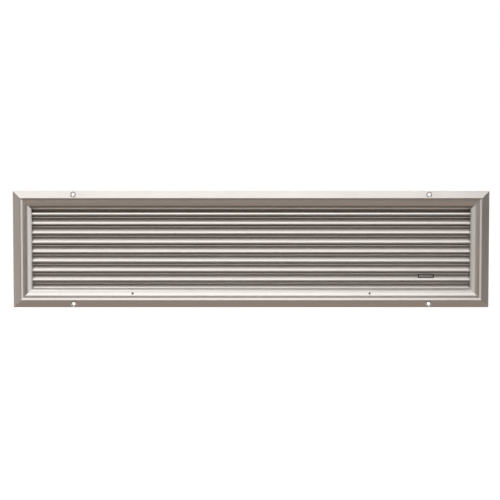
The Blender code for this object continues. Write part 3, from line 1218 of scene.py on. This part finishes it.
@dataclass
class CornerKeys:
    """Four L shaped keys, each with two set screws. Sizes are in millimetres."""

    inside_x: float = 305.1
    inside_z: float = 62.1
    front_y: float = 26.1
    back_y: float = 30.1
    arm: float = 30.0
    width: float = 5.0
    corner: float = 0.7
    screw_from_corner: float = 20.0
    screw_radius: float = 1.5
    screw_root: float = 1.2
    screw_length: float = 4.6
    screw_point: float = 0.4
    pitch: float = 0.6
    clearance: float = 0.3
    socket_radius: float = 0.85
    socket_depth: float = 1.6
    chamfer: float = 0.15
    edge_break: float = 0.2

    def outline(self) -> np.ndarray:
        """The L, with its corners rounded.

        Returns:
            Array of (points, 2), in millimetres from the outer corner.
        """
        pen = Pen((self.corner, 0.0), 0.0)
        straight = self.arm - 2 * self.corner
        inner = self.arm - self.width - 2 * self.corner
        end = self.width - 2 * self.corner
        for run, turn in (
            (straight, 90.0),
            (end, 90.0),
            (inner, -90.0),
            (inner, 90.0),
            (end, 90.0),
            (straight, 90.0),
        ):
            pen.go(run)
            pen.bend(self.corner, turn, 15.0)
        return pen.outline()

    def key(self, end: End, level: Level) -> bpy.types.Object:
        """A key: the L carried from its front to its back, in the corner that it holds.

        Args:
            end: The grille's end.
            level: The top or the bottom of the grille.

        Returns:
            The key's object, before its holes.
        """
        a, b = self.outline().T
        x = end.value * (self.inside_x - a)
        z = level.value * (self.inside_z - b)
        y = np.array([[self.front_y], [self.back_y]])
        points = np.stack([x + 0 * y, y + 0 * x, z + 0 * y], axis=-1)
        return tube_mesh(f"key_{level.name.lower()}_{end.name.lower()}", points * MM)

    def set_screw(self) -> np.ndarray:
        """The point, the thread and the flat end of a set screw that stands on its point.

        Returns:
            Array of (rings, 48, 3).
        """
        shoulder = self.screw_length - self.chamfer
        low = turned(np.array([[self.screw_root - self.screw_point, 0.0]]))
        thread = threaded(
            self.screw_root, self.screw_radius, self.pitch, self.screw_point, shoulder
        )
        top = turned(np.array([[self.screw_root - self.chamfer / 2, self.screw_length]]))
        return np.concatenate([low, thread, top])

    def socket(self) -> np.ndarray:
        """The hexagon socket, with a pointed floor.

        Returns:
            Array of (rings, 6, 3), as a cutter.
        """
        bottom = self.screw_length - self.socket_depth
        profile = np.array(
            [
                [0.05, bottom - 0.35],
                [self.socket_radius, bottom],
                [self.socket_radius, self.screw_length + 0.5],
            ]
        )
        return turned(profile, sides=6)

    def build(self, groups: GroupSet) -> None:
        """Builds the keys, bores them and puts their screws in.

        Args:
            groups: The shared shader groups.
        """
        middle_y = (self.front_y + self.back_y) / 2
        for level in Level:
            for end in End:
                label = f"{level.name.lower()}_{end.name.lower()}"
                key = self.key(end, level)
                corner = np.array([end.value * self.inside_x, middle_y, level.value * self.inside_z])
                across = corner - (end.value * self.screw_from_corner, 0.0, 0.0)
                upright = corner - (0.0, 0.0, level.value * self.screw_from_corner)
                arms = {
                    "across": (across, turn_matrix(0, 90.0 + level.value * 90.0)),
                    "upright": (upright, turn_matrix(1, -90.0 * end.value)),
                }
                radius = self.screw_radius + self.clearance
                cut_out(key, [shaft(place, radius, turn, 6.0) for place, turn in arms.values()])
                soften(key, self.edge_break)
                adopt(key, f"corner_key_{label}", stainless(), groups)
                for arm, (place, turn) in arms.items():
                    self.put_screw(f"set_screw_{label}_{arm}", place, turn, groups)

    def put_screw(self, node: str, place: np.ndarray, turn: np.ndarray, groups: GroupSet) -> None:
        """Builds a set screw at its place and cuts its socket.

        Args:
            node: The CAD node that the screw replaces.
            place: Where its point stands.
            turn: The matrix that turns it from +Z to its axis.
            groups: The shared shader groups.
        """
        screw = tube_mesh(f"{node}_threaded", (self.set_screw() @ turn.T + place) * MM)
        cut_out(screw, [tube_mesh("hexagon", (self.socket() @ turn.T + place) * MM)])
        adopt(screw, node, stainless(), groups)


# --- stage -------------------------------------------------------------------------------------


@dataclass(frozen=True)
class SoftBox:
    """A rectangular light that faces a point. Lengths are in metres."""

    name: str
    place: tuple[float, float, float]
    size: tuple[float, float]
    brightness: float
    colour: tuple[float, float, float] = (1.0, 1.0, 1.0)
    aim: tuple[float, float, float] = (0.0, 0.0, 0.0)

    def build(self) -> None:
        """Makes the light. Its power is its brightness times pi times its area."""
        data = bpy.data.lights.new(self.name, "AREA")
        data.shape = "RECTANGLE"
        data.size, data.size_y = self.size
        data.energy = self.brightness * math.pi * self.size[0] * self.size[1]
        data.color = self.colour
        made = bpy.data.objects.new(self.name, data)
        bpy.context.scene.collection.objects.link(made)
        made.location = self.place
        away = Vector(self.place) - Vector(self.aim)
        made.rotation_euler = away.to_track_quat("Z", "Y").to_euler()
        made.visible_camera = False


WARM = (1.0, 0.84, 0.74)


@dataclass
class Studio:
    """A pale floor, soft boxes and the camera. Lengths are in metres."""

    distance: float = 3.0
    elevation: float = 5.0
    width_in_view: float = 0.6770
    aim_x: float = -0.0015
    aim_z: float = -0.0012
    floor_z: float = -0.42
    boxes: tuple[SoftBox, ...] = (
        SoftBox("overhead", (-0.15, -1.92, 0.98), (1.75, 1.4), 1.4),
        SoftBox("high", (-0.15, -0.96, 1.93), (1.75, 1.4), 1.02),
        SoftBox("above", (-0.12, 0.25, 2.1), (1.75, 1.1), 1.35),
        SoftBox("right", (2.25, -0.6, 0.1), (3.4, 2.2), 0.82),
        SoftBox("left", (-2.2, -0.75, 0.1), (3.6, 2.2), 0.56),
        SoftBox("front", (-1.0, -4.2, -0.1), (3.8, 1.6), 0.15, WARM),
        SoftBox("low", (-0.2, -1.25, -0.41), (3.0, 2.1), 0.27, WARM, (-0.2, -1.25, 0.0)),
        SoftBox("behind", (0.0, 1.8, 2.0), (2.4, 1.4), 0.6),
        SoftBox("low_behind", (0.0, 1.9, -0.41), (3.6, 1.6), 0.1, WARM, (0.0, 1.9, 0.0)),
        SoftBox("rear_right", (2.3, 2.0, -0.15), (1.6, 1.6), 0.5),
        SoftBox("rear_left", (-2.3, 2.0, -0.15), (1.6, 1.6), 0.5),
    )

    def floor(self) -> None:
        """A plain pale floor below the grille, which hangs at its mounting height."""
        corners = np.array([[-1, -1], [1, -1], [1, 1], [-1, 1]]) * 30.0
        mesh = bpy.data.meshes.new("floor")
        points = np.column_stack([corners, np.full(4, self.floor_z)])
        mesh.from_pydata(points, [], [[0, 1, 2, 3]])
        made = bpy.data.objects.new("floor", mesh)
        bpy.context.scene.collection.objects.link(made)
        paint = bpy.data.materials.new("pale_floor")
        paint.use_nodes = True
        shader = paint.node_tree.nodes["Principled BSDF"]
        shader.inputs["Base Color"].default_value = (0.9, 0.9, 0.9, 1.0)
        shader.inputs["Emission Color"].default_value = (1.0, 1.0, 1.0, 1.0)
        shader.inputs["Emission Strength"].default_value = 1.0
        mesh.materials.append(paint)
        made.visible_glossy = False

    def sky(self) -> None:
        """An even dim warm light from all round, and a white backdrop where the camera sees it."""
        world = bpy.data.worlds.new("studio")
        world.use_nodes = True
        bpy.context.scene.world = world
        tree = world.node_tree
        tree.nodes.clear()
        seen = add_node(tree, "ShaderNodeBackground")
        seen.inputs["Color"].default_value = (1.0, 1.0, 1.0, 1.0)
        dim = add_node(tree, "ShaderNodeBackground")
        dim.inputs["Color"].default_value = (*WARM, 1.0)
        dim.inputs["Strength"].default_value = 0.05
        path = add_node(tree, "ShaderNodeLightPath")
        mixed = add_node(tree, "ShaderNodeMixShader")
        out = add_node(tree, "ShaderNodeOutputWorld")
        tree.links.new(path.outputs["Is Camera Ray"], mixed.inputs["Fac"])
        tree.links.new(dim.outputs["Background"], mixed.inputs[1])
        tree.links.new(seen.outputs["Background"], mixed.inputs[2])
        tree.links.new(mixed.outputs["Shader"], out.inputs["Surface"])

    def camera(self) -> None:
        """A long lens that looks at the grille's middle from a little above it."""
        data = bpy.data.cameras.new("camera")
        data.sensor_width = 36.0
        data.lens = data.sensor_width * self.distance / self.width_in_view
        made = bpy.data.objects.new("camera", data)
        bpy.context.scene.collection.objects.link(made)
        angle = math.radians(self.elevation)
        back, up = self.distance * math.cos(angle), self.distance * math.sin(angle)
        made.location = (self.aim_x, -back, self.aim_z + up)
        made.rotation_euler = (math.pi / 2 - angle, 0.0, 0.0)
        bpy.context.scene.camera = made

    def build(self) -> None:
        """Builds the stage."""
        self.floor()
        self.sky()
        for box in self.boxes:
            box.build()
        self.camera()
        bpy.context.scene.view_settings.view_transform = "Standard"


def main() -> None:
    """Loads the frame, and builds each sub-assembly and its stage."""
    logging.basicConfig(level=logging.INFO, format="%(name)s: %(message)s")
    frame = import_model()
    LOG.info("the frame holds %d nodes", len(frame["nodes"]))
    groups = GroupSet(DrawnGrain(), HandlingMarks(), EdgeWear())
    blades = LouvreBank()
    MitredFrame().build(groups)
    blades.build(groups)
    BlankPlate(blades).build(groups)
    EndCombs(blades).build(groups)
    CombScrews().build(groups)
    CornerKeys().build(groups)
    Studio().build()


if __name__ == "__main__":
    main()
